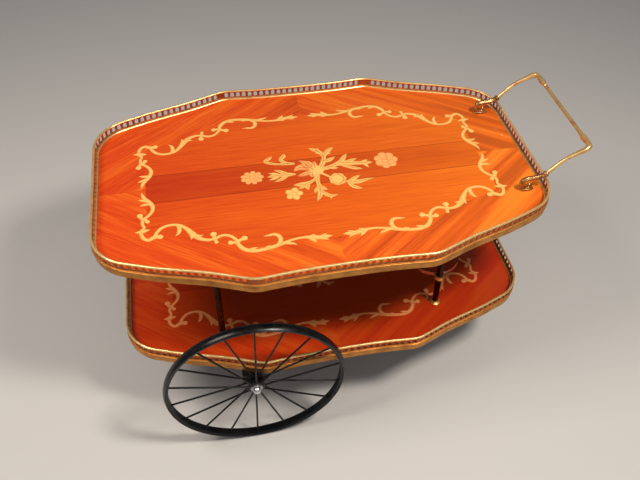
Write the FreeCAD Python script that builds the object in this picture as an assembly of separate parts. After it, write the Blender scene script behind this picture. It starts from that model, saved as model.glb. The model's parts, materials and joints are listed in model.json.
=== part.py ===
"""Two-tier bar cart: inlaid trays with pierced brass galleries, two spoked wheels, two swivel castors.

Millimetres. +X runs towards the pull handle, +Y across the cart, +Z up. Z = 0 is the floor.
Every piece is drawn about the centre of the trays; save() then shifts it along X, so that the
origin ends up under the middle of the whole cart, handle included.
"""
import FreeCAD, Part
import math
import os

from FreeCAD import Vector

# --- driving dimensions ---------------------------------------------------------------------
tray_half_length = 403.0
upper_deck_z = 422.0
lower_deck_z = 184.0
lower_tray_scale = 0.96
board_thickness = 13.0
veneer_thickness = 0.8

# One quarter of the tray's outline: corner points with the radius that rounds each of them.
outline_quarter = [
    ((tray_half_length, 172.0), 85.0),
    ((300.0, 212.5), 500.0),
    ((222.0, 236.0), 450.0),
    ((150.0, 265.0), 60.0),
    ((70.0, 258.5), 1200.0),
]
# One quarter of the field inside the crossbanding.
field_quarter = [
    ((312.0, 112.0), 20.0),
    ((228.0, 138.0), 60.0),
    ((150.0, 177.0), 40.0),
]
centre_plank_half_width = 37.0

# Brass edge band with its half-round bead, and the gallery that stands inside it.
band_bead_radius = 1.5
band_thickness = 1.0
band_drop = 13.5
gallery_thickness = 1.2
gallery_height = 19.2
rail_width = 4.4
rail_height = 3.0
rail_shoulder = 1.2
rail_crown = 1.8
foot_width = 5.0
foot_height = 2.6
foot_edge = 1.04
foot_crown = 1.0
gallery_joint_x = 150.0
hole_pitch = 12.0
hole_width = 7.0
hole_height = 10.4
hole_base = 4.0

# Leg rods between the trays.
leg_x = {"wheel_end": -212.0, "handle_end": 205.0}
leg_y = 158.0
leg_radius = 6.0
stud_radius = 3.0
stud_bite = 7.0
collar_radius = 10.5
collar_neck = 1.4
collar_lip = 2.2
collar_height = 6.0
collar_levels = (1.8, 3.3, 4.8)
nut_radius = 6.0
nut_height = 5.0
nut_crown = 1.2
# The nut's outline, as shares of its radius, its height and its crown.
nut_turning = [
    (0.0, 1.0, 1.0), (0.6, 1.0, 0.6), (0.8, 0.6, 0.0),
    (1.0, 0.3, 0.0), (1.0, 0.0, 0.0), (0.0, 0.0, 0.0),
]

# Bottle rings, in a row between the two legs at the handle end.
ring_x = 210.0
ring_outer_radius = 50.0
ring_wall = 2.5
ring_height = 8.0
ring_pitch = 102.0
ring_z = 254.0
ring_clamp_radius = 9.5
web_half_length = 4.0
web_overlap = 0.5

# Pull handle: a bail between two scroll brackets, which are screwed on from under the board.
# Its points are (X, height over the deck).
bail_radius = 3.6
bail_half_span = 122.0
bail_foot = (391.5, 30.0)
bail_bend = (424.0, 63.0)
bail_reach = 469.0
bail_rise = 82.0
bail_bend_radius = 45.0
bail_corner_radius = 12.0
knuckle_radius = 6.4
knuckle_taper = 26.0
bracket_bar_radius = 4.8
bracket_knee = (372.0, 26.0)
bracket_knee_radius = 20.0
bracket_arm_rise = 25.0
scroll_x = 350.0
scroll_radius = 10.0
scroll_tail_x = 372.0
foot_pad_x = (354.0, 371.0)
foot_pad_radius = 5.0
foot_pad_height = 4.5
foot_screw_depth = 3.6
boss_radius = 6.2
boss_length = 12.0
boss_back = 5.0

# Axle and large wheels.
wheel_radius = 164.0
wheel_x = -165.0
wheel_y = 266.0
tyre_width = 18.0
tyre_thickness = 6.0
tyre_shoulder = 3.3
tyre_bead = 1.0
rim_width = 15.0
rim_thickness = 3.0
rim_bevel = 1.2
spoke_count = 18
spoke_phase = 8.0
spoke_radius = 1.8
spoke_seat = 2.0
axle_radius = 5.0
hub_length = 17.0
hub_flange_radius = 16.0
hub_flange_thickness = 4.2
hub_chamfer = 1.0
hub_barrel_radius = 9.5
bush_radius = 7.0
running_clearance = 0.05
washer_radius = 11.0
washer_thickness = 1.5
washer_gap = 0.4
cap_radius = 8.0
cap_skirt = 3.0
cap_dome_radius = 7.52
axle_bite = 5.6
axle_block_y = 236.0
axle_block_size = (44.0, 28.0, 24.0)
axle_block_seat_width = 11.0
axle_screw_x = 12.0
axle_screw_y = 228.0

# Castors at the handle end.
castor_x = 250.0
castor_y = 85.0
castor_radius = 20.0
castor_trail = 14.0
castor_width = 14.0
castor_tyre_thickness = 5.0
castor_tyre_shoulder = 2.0
castor_tyre_bead = 1.5
castor_rim_step = 1.0
castor_hub_radius = 5.5
castor_hub_slope = 1.0
castor_dish = 2.0
castor_pin_radius = 2.5
castor_pin_head = (4.3, 1.4)
castor_leg_radius = 9.0
castor_leg_bottom = 58.0
# The leg's turned outline from its foot up, as shares of its radius and its height.
castor_leg_turning = [
    (0.0, 0.0), (0.9, 0.0), (1.0, 0.01), (1.0, 0.06), (0.72, 0.14),
    (0.95, 0.5), (0.8, 0.86), (1.25, 0.93), (1.25, 1.0), (0.0, 1.0),
]
castor_plate = (46.0, 46.0, 3.0)
castor_plate_screw = 16.0
stem_radius = 4.0
stem_length = 26.0
socket_depth = 27.0
fork_wall = 2.5
fork_gap = 1.2
fork_crown = 3.0
fork_eye_wall = 2.0
fork_heel = 2.0
thrust_washer = 1.5

# Screws.
screw_radius = 2.0
screw_head_radius = 4.0
screw_head_height = 2.4
screw_bite = 9.0

# --- derived ---------------------------------------------------------------------------------
up = Vector(0, 0, 1)
board_inset = band_bead_radius + band_thickness
bail_outer_x = bail_reach + knuckle_radius
frame_shift_x = (tray_half_length - bail_outer_x) / 2.0
lower_board_bottom = lower_deck_z - board_thickness
upper_board_bottom = upper_deck_z - board_thickness
cap_base_y = wheel_y + hub_length / 2.0 + washer_gap + washer_thickness
far = 2000.0
sides = {"front": -1.0, "back": 1.0}


# --- helpers ---------------------------------------------------------------------------------
def save(name, shape):
    """Writes one sub-part, moved into the cart's own frame."""
    moved = shape.copy()
    moved.translate(Vector(frame_shift_x, 0, 0))
    moved.exportStep("parts/" + name + ".step")
    print(name, "solids", len(moved.Solids), "valid", moved.isValid(), "volume", round(moved.Volume))


def group(shapes):
    return Part.makeCompound(list(shapes))


def box(low, high):
    low, high = Vector(*low), Vector(*high)
    size = high - low
    return Part.makeBox(size.x, size.y, size.z, low)


def cylinder(radius, base, top):
    base, top = Vector(*base), Vector(*top)
    return Part.makeCylinder(radius, (top - base).Length, base, top - base)


def revolved(profile, centre, axis=up):
    """A closed outline of (radius, height) points turned about an axis through centre."""
    points = [Vector(r, 0, h) for r, h in profile]
    solid = Part.Face(Part.makePolygon(points + points[:1])).revolve(Vector(0, 0, 0), up, 360)
    solid.Placement = FreeCAD.Placement(Vector(*centre), FreeCAD.Rotation(up, axis))
    return solid


def corner_arc(before, corner, after, radius):
    """Start, middle and end of the arc that rounds a corner."""
    back = (before - corner).normalize()
    ahead = (after - corner).normalize()
    half = back.getAngle(ahead) / 2.0
    reach = radius / math.tan(half)
    bisector = (back + ahead).normalize()
    middle = corner + bisector * (radius / math.sin(half) - radius)
    return corner + back * reach, middle, corner + ahead * reach


def rounded_wire(points, radii, closed):
    """Straight runs joined by tangent arcs. An open path has no radius at its two ends."""
    count = len(points)
    turning = range(count) if closed else range(1, count - 1)
    arcs = [corner_arc(points[i - 1], points[i], points[(i + 1) % count], radii[i]) for i in turning]
    starts = ([arcs[-1][2]] if closed else [points[0]]) + [arc[2] for arc in arcs]
    edges = []
    for start, arc in zip(starts, arcs):
        edges.append(Part.LineSegment(start, arc[0]).toShape())
        edges.append(Part.Arc(*arc).toShape())
    if not closed:
        edges.append(Part.LineSegment(starts[-1], points[-1]).toShape())
    return Part.Wire(edges)


def mirrored_corners(quarter, scale):
    """All four quarters of an outline, anticlockwise from the +X end."""
    first = [(x * scale, y * scale, r * scale) for (x, y), r in quarter]
    second = [(-x, y, r) for x, y, r in reversed(first)]
    return first + second + [(-x, -y, r) for x, y, r in first] + [(-x, -y, r) for x, y, r in second]


def outline(quarter, scale, inset, z):
    """The outline drawn inside itself by inset, at height z."""
    corners = mirrored_corners(quarter, scale)
    points = [Vector(x, y, 0) for x, y, _ in corners]
    moved = []
    radii = []
    for i, (_, _, radius) in enumerate(corners):
        run_in = (points[i] - points[i - 1]).normalize()
        run_out = (points[(i + 1) % len(points)] - points[i]).normalize()
        inward = up.cross(run_in) + up.cross(run_out)
        share = inset / (1.0 + run_in.dot(run_out))
        moved.append(points[i] + inward * share + up * z)
        convex = run_in.cross(run_out).z > 0
        radii.append(radius - inset if convex else radius + inset)
    return rounded_wire(moved, radii, True)


def plate(wire, thickness):
    return Part.Face(wire).extrude(up * thickness)


def swept(spine, profile):
    """Carries a closed profile along a flat spine, keeping it upright."""
    pipe = Part.BRepOffsetAPI.MakePipeShell(spine)
    pipe.setBiNormalMode(up)
    pipe.add(profile)
    pipe.build()
    pipe.makeSolid()
    return pipe.shape()


def swept_round(spine, radius):
    """A round bar along a spine."""
    start = spine.Edges[0]
    circle = Part.Circle(start.valueAt(start.FirstParameter), start.tangentAt(start.FirstParameter), radius)
    return spine.makePipeShell([Part.Wire(circle.toShape())], True, False)


def edge_profile(spine, steps):
    """A closed profile at the spine's start from (inset, height, bulge) steps. Each bulge is how far
    the side that leads to the next point curves out of the straight, on its right hand."""
    start = spine.Edges[0]
    origin = start.valueAt(start.FirstParameter)
    inward = up.cross(start.tangentAt(start.FirstParameter))
    points = [origin + inward * inset + up * height for inset, height, _ in steps]
    edges = []
    for i, (_, _, bulge) in enumerate(steps):
        here, there = points[i], points[(i + 1) % len(points)]
        if bulge:
            side = (there - here).cross(start.tangentAt(start.FirstParameter)).normalize()
            edges.append(Part.Arc(here, (here + there) * 0.5 + side * bulge, there).toShape())
        else:
            edges.append(Part.LineSegment(here, there).toShape())
    return Part.Wire(edges)


def screw(head_base, direction, bite=screw_bite):
    """A round-head screw. Its head sits on head_base and its shank runs along direction."""
    base = Vector(*head_base)
    along = Vector(*direction)
    shank = Part.makeCylinder(screw_radius, bite, base, along)
    dome = Part.makeSphere(screw_head_radius, base, along * -1, 0, 90, 360)
    flat = Part.makeCylinder(screw_head_radius, screw_head_height, base, along * -1)
    return dome.common(flat).fuse(shank).removeSplitter()


def side_plate(points, y, thickness):
    """A flat outline of (x, z) points in the XZ plane at y, thickened along +Y."""
    corners = [Vector(x, y, z) for x, z in points]
    return Part.Face(Part.makePolygon(corners + corners[:1])).extrude(Vector(0, thickness, 0))


# --- trays -----------------------------------------------------------------------------------
def board_core(scale, deck_z):
    wire = outline(outline_quarter, scale, board_inset, deck_z - board_thickness)
    return plate(wire, board_thickness - veneer_thickness)


def field_plate(scale, deck_z):
    return plate(outline(field_quarter, scale, 0.0, deck_z - veneer_thickness), veneer_thickness)


def field_planks(scale, deck_z):
    """Three lengthwise veneers: one down the middle and one on each side."""
    sheet = field_plate(scale, deck_z)
    seam = centre_plank_half_width * scale
    strips = [(-far, -seam), (-seam, seam), (seam, far)]
    return group(sheet.common(box((-far, low, 0), (far, high, far))) for low, high in strips)


def crossband(scale, deck_z):
    """Four border veneers, mitred at the middle of each side."""
    sheet = plate(outline(outline_quarter, scale, board_inset, deck_z - veneer_thickness), veneer_thickness)
    border = sheet.cut(field_plate(scale, deck_z))
    corners = [(0, 0), (-far, 0), (-far, -far), (0, -far)]
    return group(border.common(box((x, y, 0), (x + far, y + far, far))) for x, y in corners)


def edge_band(scale, deck_z):
    """Thin brass round the board's edge, with a half-round bead at deck level."""
    spine = outline(outline_quarter, scale, 0.0, deck_z)
    face, back, bead = band_bead_radius, board_inset, band_bead_radius
    steps = [(face, -band_drop, 0), (back, -band_drop, 0), (back, bead, 0), (face, bead, 0)]
    return swept(spine, edge_profile(spine, steps[:3] + [(face, bead, bead), (face, -bead, 0)]))


def gallery_ring(scale, deck_z):
    """Upright strip with a rounded top rail and a foot that lies on the deck."""
    spine = outline(outline_quarter, scale, 0.0, deck_z)
    outer = board_inset
    inner = outer + gallery_thickness
    rail_out = (outer + inner - rail_width) / 2.0
    rail_in = rail_out + rail_width
    rail_base = gallery_height - rail_height
    shoulder = rail_base + rail_shoulder
    steps = [
        (outer, 0.0, 0),
        (inner + foot_width, 0.0, 0),
        (inner + foot_width, foot_edge, foot_crown),
        (inner, foot_height, 0),
        (inner, rail_base, 0),
        (rail_in, rail_base, 0),
        (rail_in, shoulder, rail_crown),
        (rail_out, shoulder, 0),
        (rail_out, rail_base, 0),
        (outer, rail_base, 0),
    ]
    return swept(spine, edge_profile(spine, steps))


def gallery_hole(centre, along):
    """An arched cutter that passes through the strip at right angles to it."""
    across = up.cross(along).normalize()
    half = along * (hole_width / 2.0)
    spring = up * (hole_height - hole_width / 2.0)
    base = centre + up * hole_base - across * hole_width
    corners = [base - half, base + half, base + half + spring, base - half + spring]
    crown = base + up * hole_height
    edges = [Part.LineSegment(corners[i], corners[i + 1]).toShape() for i in (0, 1)]
    edges.append(Part.Arc(corners[2], crown, corners[3]).toShape())
    edges.append(Part.LineSegment(corners[3], corners[0]).toShape())
    return Part.Face(Part.Wire(edges)).extrude(across * (hole_width * 2.0))


def gallery_holes(scale, deck_z):
    """One cutter every pitch along the strip, with its centre point."""
    spine = outline(outline_quarter, scale, board_inset, deck_z)
    count = int(round(spine.Length / hole_pitch / 4.0)) * 4
    marks = spine.discretize(Number=2 * count + 1)
    holes = []
    for i in range(1, 2 * count, 2):
        along = (marks[i + 1] - marks[i - 1]).normalize()
        holes.append((marks[i], gallery_hole(marks[i], along)))
    return holes


def gallery_sections(scale, deck_z):
    """The gallery in its four soldered lengths, each pierced along its run."""
    ring = gallery_ring(scale, deck_z)
    joint = gallery_joint_x * scale
    lengths = {
        "handle_end": ((joint, -far), (far, far)),
        "wheel_end": ((-far, -far), (-joint, far)),
        "front": ((-joint, -far), (joint, 0)),
        "back": ((-joint, 0), (joint, far)),
    }
    holes = gallery_holes(scale, deck_z)
    sections = {}
    for name, (low, high) in lengths.items():
        length = ring.common(box((low[0], low[1], 0), (high[0], high[1], far)))
        inside = [
            hole for centre, hole in holes
            if low[0] + hole_width < centre.x < high[0] - hole_width and low[1] < centre.y < high[1]
        ]
        sections[name] = length.cut(group(inside))
    return sections


# --- legs ------------------------------------------------------------------------------------
def leg_places():
    return {
        end + "_" + side: (x, sign * leg_y)
        for end, x in leg_x.items() for side, sign in sides.items()
    }


def leg(x, y):
    """A rod with a stud at each end: one through the lower board, one up into the upper board."""
    rod = cylinder(leg_radius, (x, y, lower_deck_z), (x, y, upper_board_bottom))
    low_stud = cylinder(stud_radius, (x, y, lower_board_bottom - nut_height), (x, y, lower_deck_z))
    top_stud = cylinder(stud_radius, (x, y, upper_board_bottom), (x, y, upper_board_bottom + stud_bite))
    return rod.fuse(low_stud).fuse(top_stud)


def collar(x, y, z, rising):
    """A stepped ring round the rod, wide where it meets the board."""
    bore = leg_radius + running_clearance
    flange_top, neck_z, lip_z = collar_levels
    profile = [
        (bore, 0.0),
        (collar_radius, 0.0),
        (collar_radius, flange_top),
        (leg_radius + collar_neck, neck_z),
        (leg_radius + collar_lip, lip_z),
        (leg_radius + collar_neck, collar_height),
        (bore, collar_height),
    ]
    return revolved(profile, (x, y, z), up if rising else up * -1)


def leg_nut(x, y):
    """A domed nut under the lower board."""
    profile = [(nut_radius * out, -nut_height * down - nut_crown * dome) for out, down, dome in nut_turning]
    return revolved(profile, (x, y, lower_board_bottom)).cut(leg(x, y))


# --- bottle rings ----------------------------------------------------------------------------
def ring_centres():
    return {"front": -ring_pitch, "middle": 0.0, "back": ring_pitch}


def ring_disc(y, radius):
    return cylinder(radius, (ring_x, y, ring_z), (ring_x, y, ring_z + ring_height))


def bottle_ring(y):
    return ring_disc(y, ring_outer_radius).cut(ring_disc(y, ring_outer_radius - ring_wall))


def ring_webs():
    """Short blocks that join each ring to the next."""
    reach = ring_pitch / 2.0 - ring_outer_radius + web_overlap
    low_x, high_x = ring_x - web_half_length, ring_x + web_half_length
    discs = group(ring_disc(y, ring_outer_radius) for y in ring_centres().values())
    webs = []
    for sign in sides.values():
        y = sign * ring_pitch / 2.0
        block = box((low_x, y - reach, ring_z), (high_x, y + reach, ring_z + ring_height))
        webs.append(block.cut(discs))
    return group(webs)


def ring_clamp(sign):
    """A collar round the leg that the outer ring is brazed to."""
    x, y = leg_x["handle_end"], sign * leg_y
    base, top = (x, y, ring_z), (x, y, ring_z + ring_height)
    body = cylinder(ring_clamp_radius, base, top).cut(cylinder(leg_radius, base, top))
    return body.cut(ring_disc(sign * ring_pitch, ring_outer_radius))


# --- pull handle -----------------------------------------------------------------------------
def bail_points():
    half = [bail_foot, bail_bend, (bail_reach, bail_rise)]
    near = [Vector(x, -bail_half_span, upper_deck_z + z) for x, z in half]
    return near + [Vector(p.x, -p.y, p.z) for p in reversed(near)]


def knuckle(corner, toward):
    """A swelling at the bail's corner that tapers along one of its two runs."""
    start = corner + toward * bail_corner_radius
    return Part.makeCone(knuckle_radius, bail_radius, knuckle_taper, start, toward)


def bail():
    """The cast handle: a bar between two arms, thickened at the two corners."""
    points = bail_points()
    radii = [0.0, bail_bend_radius, bail_corner_radius, bail_corner_radius, bail_bend_radius, 0.0]
    shape = swept_round(rounded_wire(points, radii, False), bail_radius)
    for before, corner, after in ((1, 2, 3), (4, 3, 2)):
        start, middle, end = corner_arc(points[before], points[corner], points[after], bail_corner_radius)
        elbow = swept_round(Part.Wire(Part.Arc(start, middle, end).toShape()), knuckle_radius)
        arm = (points[before] - points[corner]).normalize()
        bar = (points[after] - points[corner]).normalize()
        shape = shape.fuse([elbow, knuckle(points[corner], arm), knuckle(points[corner], bar)])
    return shape.removeSplitter()


def bracket_screws():
    """Two screws up through the board into each bracket's foot."""
    bite = board_thickness + foot_screw_depth
    return [
        screw((x, sign * bail_half_span, upper_board_bottom), (0, 0, 1), bite)
        for sign in sides.values() for x in foot_pad_x
    ]


def foot_pad(y):
    """A slab with round ends that lies on the deck."""
    low, high = foot_pad_x
    top = upper_deck_z + foot_pad_height
    ends = [cylinder(foot_pad_radius, (x, y, upper_deck_z), (x, y, top)) for x in foot_pad_x]
    slab = box((low, y - foot_pad_radius, upper_deck_z), (high, y + foot_pad_radius, top))
    return slab.fuse(ends).removeSplitter()


def bracket(sign):
    """A hook-shaped bar: from the bail's boss inward over the gallery, then curled down to its foot."""
    y = sign * bail_half_span
    deck = upper_deck_z
    foot_x, foot_z = bail_foot
    knee_x, knee_z = bracket_knee
    tail_z = deck + bracket_arm_rise - 2.0 * scroll_radius
    points = [
        Vector(foot_x, y, deck + foot_z),
        Vector(knee_x, y, deck + knee_z),
        Vector(scroll_x, y, deck + bracket_arm_rise),
        Vector(scroll_x, y, tail_z),
        Vector(scroll_tail_x, y, tail_z),
    ]
    radii = [0.0, bracket_knee_radius, scroll_radius, scroll_radius, 0.0]
    bar = swept_round(rounded_wire(points, radii, False), bracket_bar_radius)
    along = (bail_points()[1] - bail_points()[0]).normalize()
    bail_end = points[0]
    boss = Part.makeCylinder(boss_radius, boss_length, bail_end - along * boss_back, along)
    rod = Part.makeCylinder(bail_radius, far, bail_end, along)
    shape = bar.fuse([foot_pad(y), boss]).cut(rod).removeSplitter()
    return shape.cut(group(bracket_screws()))


# --- axle and large wheels -------------------------------------------------------------------
def axle_bar():
    end = cap_base_y + axle_bite
    return cylinder(axle_radius, (wheel_x, -end, wheel_radius), (wheel_x, end, wheel_radius))


def axle_screws():
    """Four long screws that hold the two axle blocks to the lower board."""
    height = axle_block_size[2]
    head_z = lower_board_bottom - height
    return [
        screw((wheel_x + dx, sign * axle_screw_y, head_z), (0, 0, 1), height + screw_bite)
        for sign in sides.values() for dx in (-axle_screw_x, axle_screw_x)
    ]


def axle_block(sign):
    """A steel block for the axle. Its outer part passes under the edge band and its seat meets the board."""
    length, width, height = axle_block_size
    inner = axle_block_y - width / 2.0
    low_z = lower_board_bottom - height
    band_z = lower_deck_z - band_drop
    low_x, high_x = wheel_x - length / 2.0, wheel_x + length / 2.0
    reaches = ((inner + width, band_z), (inner + axle_block_seat_width, lower_board_bottom))
    steps = []
    for outer, top in reaches:
        near, past = sorted((sign * inner, sign * outer))
        steps.append(box((low_x, near, low_z), (high_x, past, top)))
    return steps[0].fuse(steps[1]).removeSplitter().cut(axle_bar()).cut(group(axle_screws()))


def about_axle(profile, y):
    """A (radius, distance along Y) outline turned about the axle."""
    return revolved(profile, (wheel_x, y, wheel_radius), Vector(0, 1, 0))


def tyre(sign):
    """A solid rubber ring whose tread is one shallow arc between its shoulders."""
    inner = wheel_radius - tyre_thickness
    half = tyre_width / 2.0
    shoulder = wheel_radius - tyre_shoulder
    points = [
        Vector(inner, 0, -half + tyre_bead),
        Vector(shoulder, 0, -half),
        Vector(shoulder, 0, half),
        Vector(inner, 0, half - tyre_bead),
    ]
    crown = Vector(wheel_radius, 0, 0)
    edges = [
        Part.LineSegment(points[0], points[1]).toShape(),
        Part.Arc(points[1], crown, points[2]).toShape(),
        Part.LineSegment(points[2], points[3]).toShape(),
        Part.LineSegment(points[3], points[0]).toShape(),
    ]
    solid = Part.Face(Part.Wire(edges)).revolve(Vector(0, 0, 0), up, 360)
    centre = Vector(wheel_x, sign * wheel_y, wheel_radius)
    solid.Placement = FreeCAD.Placement(centre, FreeCAD.Rotation(up, Vector(0, 1, 0)))
    return solid


def spokes(sign):
    """Straight rods from the hub's two flanges, in turn, to the rim."""
    offset = (hub_length - hub_flange_thickness) / 2.0
    hub_r = hub_flange_radius - spoke_seat * 2.0
    rim_r = wheel_radius - tyre_thickness - rim_thickness + spoke_seat
    centre = Vector(wheel_x, sign * wheel_y, wheel_radius)
    rods = []
    for i in range(spoke_count):
        angle = math.radians(spoke_phase) + 2.0 * math.pi * i / spoke_count
        out = Vector(math.cos(angle), 0, math.sin(angle))
        side = offset if i % 2 else -offset
        start = centre + out * hub_r + Vector(0, side, 0)
        end = centre + out * rim_r
        rods.append(Part.makeCylinder(spoke_radius, (end - start).Length, start, end - start))
    return group(rods)


def rim(sign):
    """A flat steel hoop inside the tyre, bored for the spokes."""
    outer = wheel_radius - tyre_thickness
    inner = outer - rim_thickness
    half = rim_width / 2.0
    flat = half - rim_bevel
    profile = [(inner, -flat), (inner, flat), (outer - rim_bevel, half), (outer, half),
               (outer, -half), (outer - rim_bevel, -half)]
    return about_axle(profile, sign * wheel_y).cut(spokes(sign))


def hub(sign):
    """A spool with a flange at each end, bored for its bush and for the spokes."""
    half = hub_length / 2.0
    waist = half - hub_flange_thickness
    shoulder = waist - hub_chamfer
    edge = half - hub_chamfer
    profile = [
        (bush_radius, -half),
        (hub_flange_radius - hub_chamfer, -half),
        (hub_flange_radius, -edge),
        (hub_flange_radius, -waist),
        (hub_barrel_radius, -shoulder),
        (hub_barrel_radius, shoulder),
        (hub_flange_radius, waist),
        (hub_flange_radius, edge),
        (hub_flange_radius - hub_chamfer, half),
        (bush_radius, half),
    ]
    return about_axle(profile, sign * wheel_y).cut(spokes(sign))


def bush(sign):
    """The bearing sleeve, which turns on the axle."""
    bore = axle_radius + running_clearance
    half = hub_length / 2.0
    profile = [(bore, -half), (bush_radius, -half), (bush_radius, half), (bore, half)]
    return about_axle(profile, sign * wheel_y)


def axle_washers():
    """One washer each side of each hub, with a running gap to the hub's face."""
    half = washer_thickness / 2.0
    profile = [(axle_radius, -half), (washer_radius, -half), (washer_radius, half), (axle_radius, half)]
    offset = hub_length / 2.0 + washer_gap + half
    places = [sign * wheel_y + face * offset for sign in sides.values() for face in sides.values()]
    return group(about_axle(profile, y) for y in places)


def cap_nut(sign):
    """A domed nut that closes the end of the axle."""
    outward = Vector(0, sign, 0)
    base = Vector(wheel_x, sign * cap_base_y, wheel_radius)
    skirt = Part.makeCylinder(cap_radius, cap_skirt, base, outward)
    dome = Part.makeSphere(cap_dome_radius, base + outward * cap_skirt, outward, 0, 90, 360)
    return skirt.fuse(dome).removeSplitter().cut(axle_bar())


# --- castors ---------------------------------------------------------------------------------
def castor_plate_screws(sign):
    head_z = lower_board_bottom - castor_plate[2]
    offsets = (-castor_plate_screw, castor_plate_screw)
    y = sign * castor_y
    return [screw((castor_x + dx, y + dy, head_z), (0, 0, 1)) for dx in offsets for dy in offsets]


def castor_screws():
    return [item for sign in sides.values() for item in castor_plate_screws(sign)]


def castor_leg(sign):
    """A turned leg with a square top plate and a blind socket for the castor's stem."""
    y = sign * castor_y
    length, width, height = castor_plate
    low = (castor_x - length / 2, y - width / 2, lower_board_bottom - height)
    high = (castor_x + length / 2, y + width / 2, lower_board_bottom)
    rise = lower_board_bottom - height - castor_leg_bottom
    profile = [(castor_leg_radius * out, rise * level) for out, level in castor_leg_turning]
    shaft = revolved(profile, (castor_x, y, castor_leg_bottom))
    bore = cylinder(stem_radius + running_clearance, (castor_x, y, castor_leg_bottom),
                    (castor_x, y, castor_leg_bottom + socket_depth))
    return shaft.fuse(box(low, high)).cut(bore).cut(group(castor_plate_screws(sign))).removeSplitter()


def castor_cheek(sign, low_y):
    """One side of the fork, from the crown down to the pin, narrowing as it goes."""
    wheel_at = castor_x - castor_trail
    crown_top = castor_leg_bottom - fork_gap - thrust_washer
    eye = castor_pin_head[0] + fork_eye_wall
    outline_points = [
        (castor_x + stem_radius, crown_top),
        (wheel_at - eye - fork_heel, crown_top),
        (wheel_at - eye, castor_radius - eye),
        (wheel_at + eye, castor_radius - eye),
    ]
    return side_plate(outline_points, sign * castor_y + low_y, fork_wall)


def castor_fork(sign):
    """Stem, thrust washer, crown and two cheeks that hold the wheel behind the stem's axis."""
    y = sign * castor_y
    crown_top = castor_leg_bottom - fork_gap - thrust_washer
    crown_low = crown_top - fork_crown
    half_gap = castor_width / 2.0 + fork_gap
    half = half_gap + fork_wall
    stem = cylinder(stem_radius, (castor_x, y, crown_top), (castor_x, y, castor_leg_bottom + stem_length))
    washer = cylinder(castor_leg_radius, (castor_x, y, crown_top), (castor_x, y, crown_top + thrust_washer))
    disc = cylinder(half, (castor_x, y, crown_low), (castor_x, y, crown_top))
    bridge = box((castor_x - castor_trail, y - half, crown_low), (castor_x, y + half, crown_top))
    cheeks = [castor_cheek(sign, low_y) for low_y in (-half, half_gap)]
    return stem.fuse([washer, disc, bridge] + cheeks).cut(castor_pin(sign)).removeSplitter()


def castor_pin(sign):
    """The rivet that the small wheel turns on, headed at both ends."""
    half = castor_width / 2.0 + fork_gap + fork_wall
    head_radius, head_height = castor_pin_head
    axis_at = Vector(castor_x - castor_trail, sign * castor_y, castor_radius)
    outward = Vector(0, half, 0)
    shank = cylinder(castor_pin_radius, axis_at - outward, axis_at + outward)
    heads = [
        Part.makeCylinder(head_radius, head_height, axis_at + outward * side, Vector(0, side, 0))
        for side in sides.values()
    ]
    return shank.fuse(heads).removeSplitter()


def about_castor_pin(profile, sign):
    return revolved(profile, (castor_x - castor_trail, sign * castor_y, castor_radius), Vector(0, 1, 0))


def castor_wheel(sign):
    """The small wheel's centre, dished on both faces, with a running fit on its pin."""
    bore = castor_pin_radius + running_clearance
    outer = castor_radius - castor_tyre_thickness
    half = castor_width / 2.0
    web = half - castor_dish
    side = [(bore, half), (castor_hub_radius, half), (castor_hub_radius + castor_hub_slope, web),
            (outer - castor_dish, web), (outer, half - castor_rim_step)]
    return about_castor_pin(side + [(r, -h) for r, h in reversed(side)], sign)


def castor_tyre(sign):
    inner = castor_radius - castor_tyre_thickness
    half = castor_width / 2.0
    edge = castor_radius - castor_tyre_shoulder
    side = [(inner, half - castor_rim_step), (inner + castor_tyre_bead, half), (edge, half),
            (castor_radius, half - castor_tyre_shoulder)]
    return about_castor_pin(side + [(r, -h) for r, h in reversed(side)], sign)


# --- assembly --------------------------------------------------------------------------------
def save_tray(tier, scale, deck_z, fixings):
    save(tier + "_board", board_core(scale, deck_z).cut(fixings))
    save(tier + "_field_planks", field_planks(scale, deck_z))
    save(tier + "_crossband", group(piece.cut(fixings) for piece in crossband(scale, deck_z).Solids))
    save(tier + "_edge_band", edge_band(scale, deck_z))
    for name, section in gallery_sections(scale, deck_z).items():
        save(tier + "_gallery_" + name, section)


def save_legs():
    places = leg_places()
    for name, (x, y) in places.items():
        save("leg_" + name, leg(x, y))
    save("leg_foot_collars", group(collar(x, y, lower_deck_z, True) for x, y in places.values()))
    save("leg_top_collars", group(collar(x, y, upper_board_bottom, False) for x, y in places.values()))
    save("leg_nuts", group(leg_nut(x, y) for x, y in places.values()))


def save_bottle_rack():
    for name, y in ring_centres().items():
        save("bottle_ring_" + name, bottle_ring(y))
    save("bottle_ring_webs", ring_webs())
    save("bottle_ring_clamps", group(ring_clamp(sign) for sign in sides.values()))


def save_handle():
    save("handle_bail", bail())
    for side, sign in sides.items():
        save("handle_bracket_" + side, bracket(sign))
    save("handle_screws", group(bracket_screws()))


def save_wheels():
    save("axle_bar", axle_bar())
    save("axle_blocks", group(axle_block(sign) for sign in sides.values()))
    save("axle_block_screws", group(axle_screws()))
    save("axle_washers", axle_washers())
    save("axle_cap_nuts", group(cap_nut(sign) for sign in sides.values()))
    for side, sign in sides.items():
        save("wheel_tyre_" + side, tyre(sign))
        save("wheel_rim_" + side, rim(sign))
        save("wheel_spokes_" + side, spokes(sign))
        save("wheel_hub_" + side, hub(sign))
        save("wheel_bush_" + side, bush(sign))


def save_castors():
    save("castor_screws", group(castor_screws()))
    for side, sign in sides.items():
        save("castor_leg_" + side, castor_leg(sign))
        save("castor_fork_" + side, castor_fork(sign))
        save("castor_pin_" + side, castor_pin(sign))
        save("castor_wheel_" + side, castor_wheel(sign))
        save("castor_tyre_" + side, castor_tyre(sign))


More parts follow.
